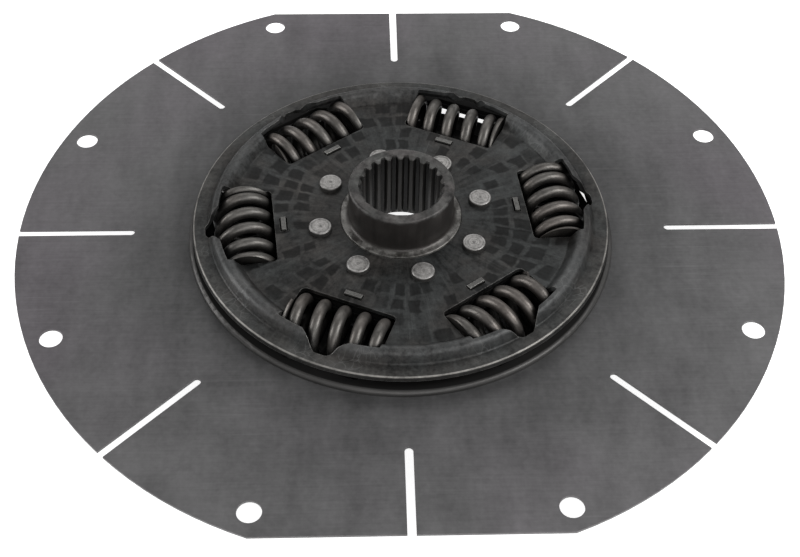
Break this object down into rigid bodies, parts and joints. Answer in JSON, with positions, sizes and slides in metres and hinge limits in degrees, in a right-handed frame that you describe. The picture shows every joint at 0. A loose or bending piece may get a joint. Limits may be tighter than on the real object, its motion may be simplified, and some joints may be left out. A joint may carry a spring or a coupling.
{
  "type": "clutch disc",
  "caption": "Round drive plate of thin steel with relief slots and a bolted rim, a sprung damper under a pressed cover with spring windows, and an internally splined hub.",
  "frame": {"origin": "centre of the flywheel bolt circle, on the hub-side face of the thin flex plate", "axes": "+Z along the hub axis, out of the hub's tall end; +X along one relief slot of the flex plate; the two flats of the rim face +Y and -Y"},
  "size_m": [0.4666, 0.435, 0.0608],
  "materials": {
    "rolled_sheet": "dull",
    "phosphated_steel": "phosphated, dull",
    "machined_steel": "machined, oiled",
    "bright_steel": "bright",
    "rivet_steel": "bright, pressed",
    "spring_steel": "shot-peened, oiled",
    "friction_facing": "matt",
    "bush_plastic": "matt"
  },
  "bodies": {
    "drive_plate_body": {"flex_plate": "rolled_sheet", "drive_disc_upper": "rolled_sheet", "drive_disc_lower": "rolled_sheet", "guide_bush": "bush_plastic", "disc_rivet_01": "rivet_steel", "disc_rivet_02": "rivet_steel", "disc_rivet_03": "rivet_steel", "disc_rivet_04": "rivet_steel", "disc_rivet_05": "rivet_steel", "disc_rivet_06": "rivet_steel", "disc_rivet_07": "rivet_steel", "disc_rivet_08": "rivet_steel", "disc_rivet_09": "rivet_steel", "disc_rivet_10": "rivet_steel", "disc_rivet_11": "rivet_steel", "disc_rivet_12": "rivet_steel"},
    "driven_body": {"hub": "machined_steel", "side_plate_upper": "phosphated_steel", "side_plate_lower": "phosphated_steel", "hub_rivet_1": "rivet_steel", "hub_rivet_2": "rivet_steel", "hub_rivet_3": "rivet_steel", "hub_rivet_4": "rivet_steel", "hub_rivet_5": "rivet_steel", "hub_rivet_6": "rivet_steel", "hub_rivet_7": "rivet_steel", "hub_rivet_8": "rivet_steel", "pressure_ring_upper": "bright_steel", "pressure_ring_lower": "bright_steel", "friction_ring_upper": "friction_facing", "friction_ring_lower": "friction_facing", "disc_spring": "spring_steel", "thrust_washer": "bright_steel"},
    "spring_set": {"damper_spring_1": "spring_steel", "damper_spring_2": "spring_steel", "damper_spring_3": "spring_steel", "damper_spring_4": "spring_steel", "damper_spring_5": "spring_steel", "damper_spring_6": "spring_steel"}
  },
  "joints": [
    {"name": "torsion_twist", "type": "hinge", "parent": "drive_plate_body", "child": "driven_body", "pos_m": [0, 0, 0], "axis": [0, 0, 1], "range_deg": [-7, 7], "stiffness_Nm_per_rad": 11300, "deforming": ["damper_spring_1", "damper_spring_2", "damper_spring_3", "damper_spring_4", "damper_spring_5", "damper_spring_6"]},
    {"name": "spring_follow", "type": "hinge", "parent": "drive_plate_body", "child": "spring_set", "pos_m": [0, 0, 0], "axis": [0, 0, 1], "range_deg": [-3.5, 3.5]}
  ],
  "couplings": [
    {"joint": "spring_follow", "follows": "torsion_twist", "ratio": 0.5}
  ]
}
